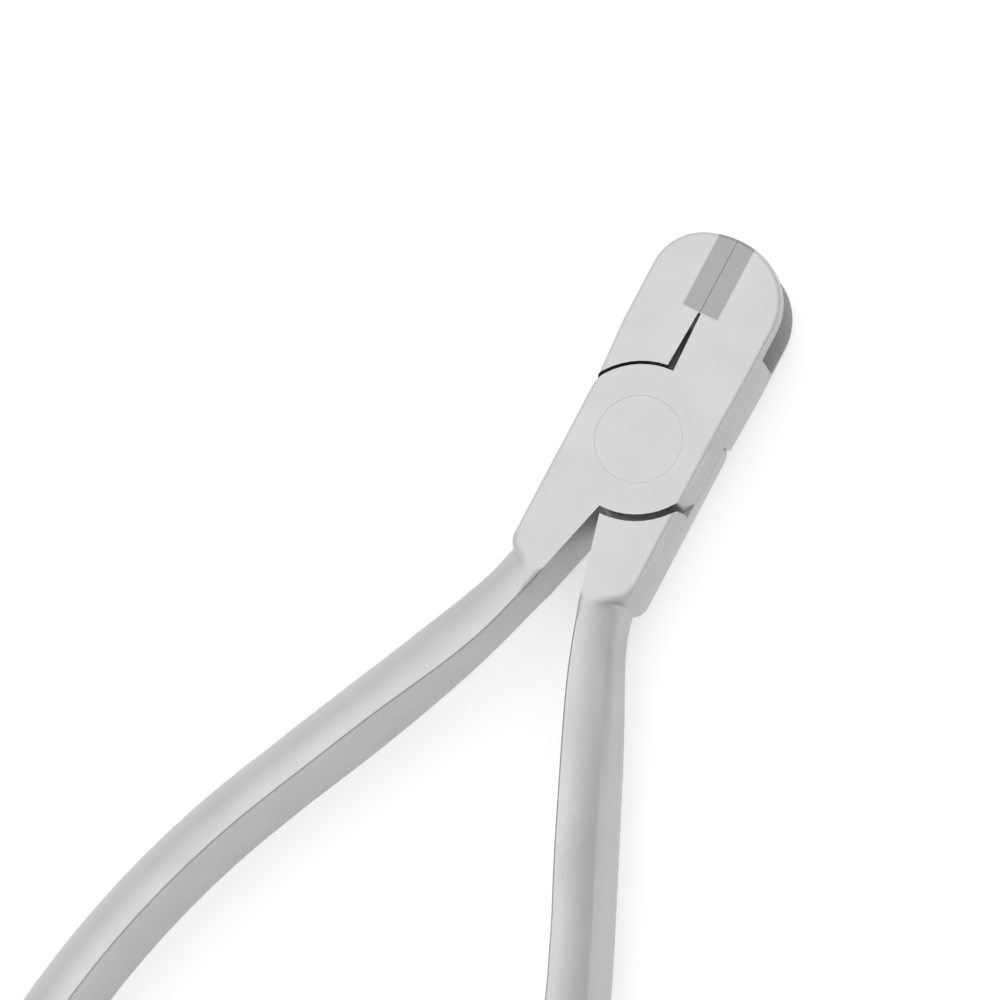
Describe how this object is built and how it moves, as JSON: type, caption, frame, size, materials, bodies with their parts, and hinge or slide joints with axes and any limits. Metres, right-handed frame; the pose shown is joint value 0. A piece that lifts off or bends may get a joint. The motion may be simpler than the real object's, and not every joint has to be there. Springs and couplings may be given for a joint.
{
  "type": "orthodontic pliers",
  "caption": "Orthodontic pliers with a riveted lap joint, long bowed handles and forked jaws tipped with carbide strips.",
  "frame": {"origin": "on the pivot axis, at the flat rear face of the joint", "axes": "+Y from the pivot to the jaw tips, +Z out of the front face along the pivot, +X to the right seen from the front"},
  "size_m": [0.0572, 0.1362, 0.011],
  "materials": {
    "satin_steel": "satin ground head, bead-blasted handles",
    "rivet_steel": "satin, ground flush",
    "carbide": "fine ground, darker grey",
    "braze": "silver braze, smooth"
  },
  "bodies": {
    "front_lever": {"front_half": "satin_steel", "pivot_rivet": "rivet_steel", "insert_front_right": "carbide", "braze_front_right": "braze", "insert_rear_right": "carbide", "braze_rear_right": "braze"},
    "rear_lever": {"rear_half": "satin_steel", "insert_front_left": "carbide", "braze_front_left": "braze", "insert_rear_left": "carbide", "braze_rear_left": "braze"}
  },
  "joints": [
    {"name": "pivot", "type": "hinge", "parent": "front_lever", "child": "rear_lever", "pos_m": [0, 0, 0.004], "axis": [0, 0, 1], "range_deg": [0, 35]}
  ]
}
